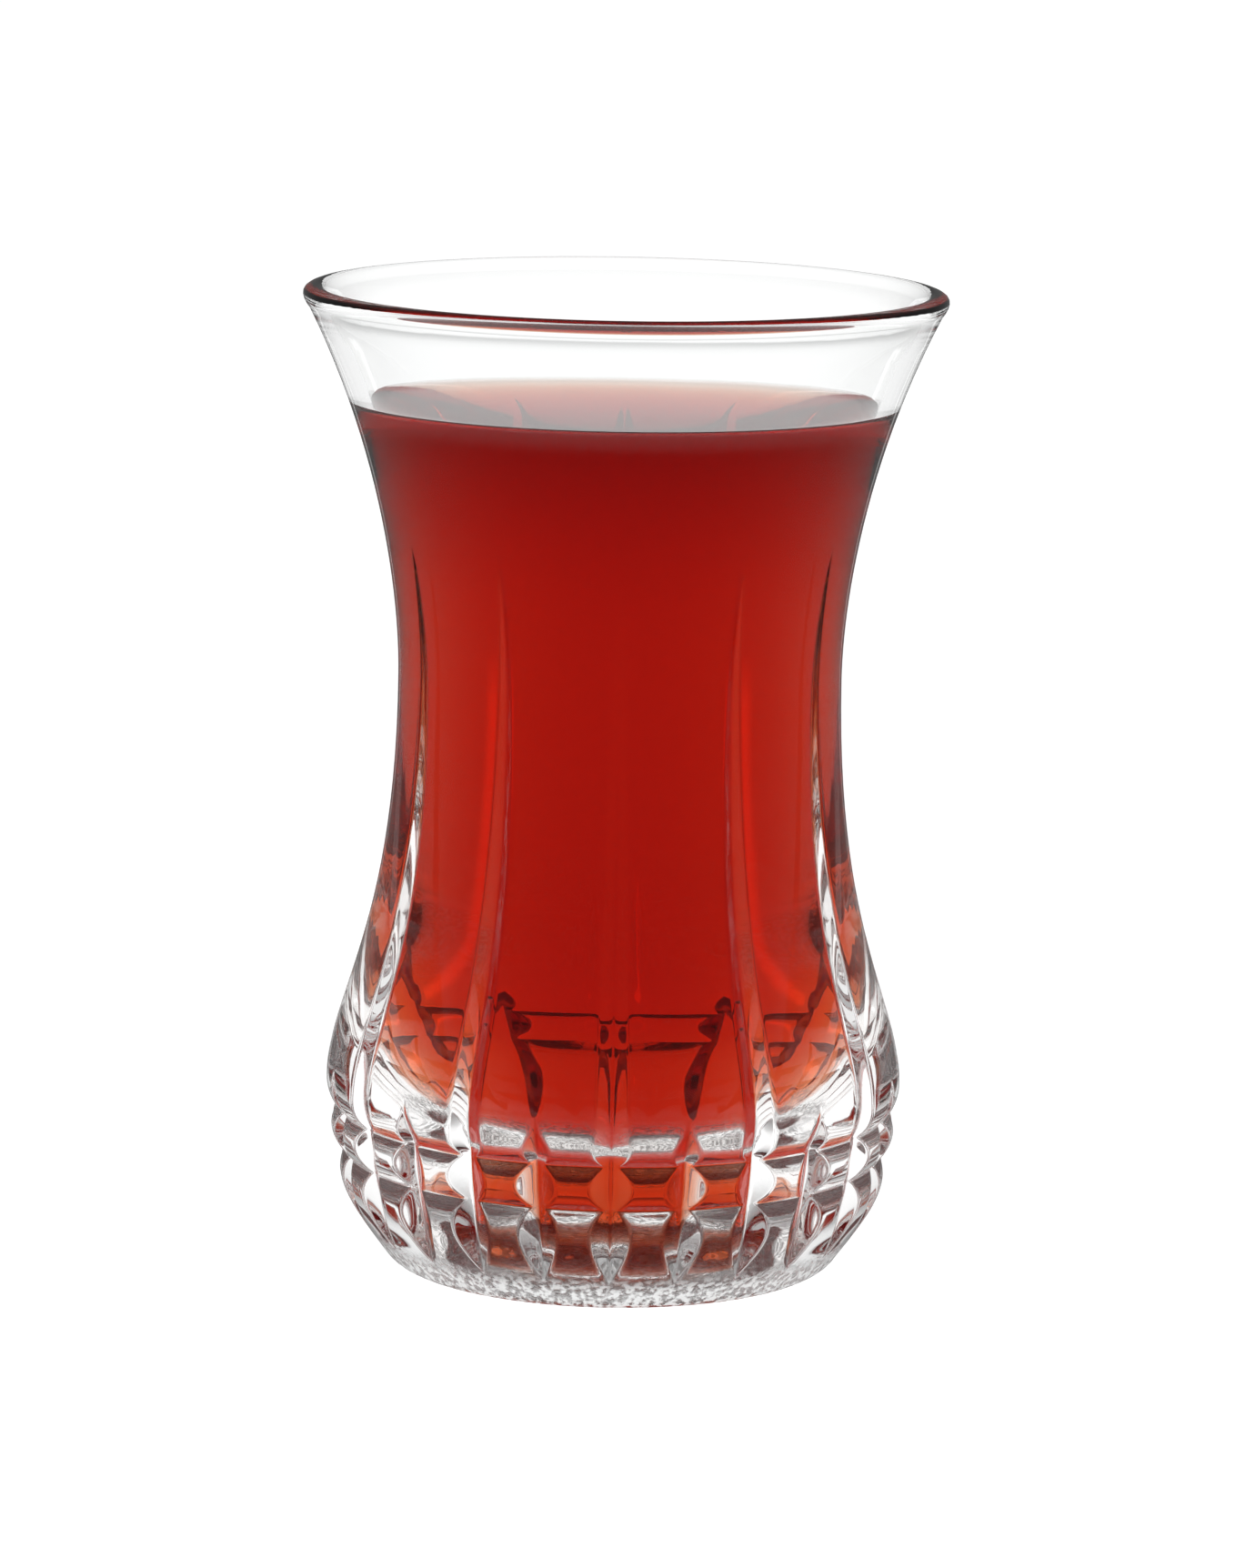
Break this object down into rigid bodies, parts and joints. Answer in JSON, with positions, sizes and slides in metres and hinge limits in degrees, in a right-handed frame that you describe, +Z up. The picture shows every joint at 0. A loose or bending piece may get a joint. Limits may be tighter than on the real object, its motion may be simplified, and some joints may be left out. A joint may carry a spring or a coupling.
{
  "type": "tea glass filled with tea",
  "caption": "waisted glass with a flared round lip, upright mitre cuts, bands of cut studs and a heavy base, filled with black tea to just below the rim",
  "frame": {"origin": "centre of the base, on the surface that the glass stands on", "axes": "+Z up along the axis of the glass, -Y towards the camera through the middle of an upright cut, +X to the right of the picture"},
  "size_m": [0.061, 0.061, 0.094],
  "materials": {
    "glass": "clear polished, stippled under the base",
    "tea": "clear deep red liquid"
  },
  "bodies": {
    "root": {"glass": "glass", "tea": "tea"}
  },
  "joints": []
}
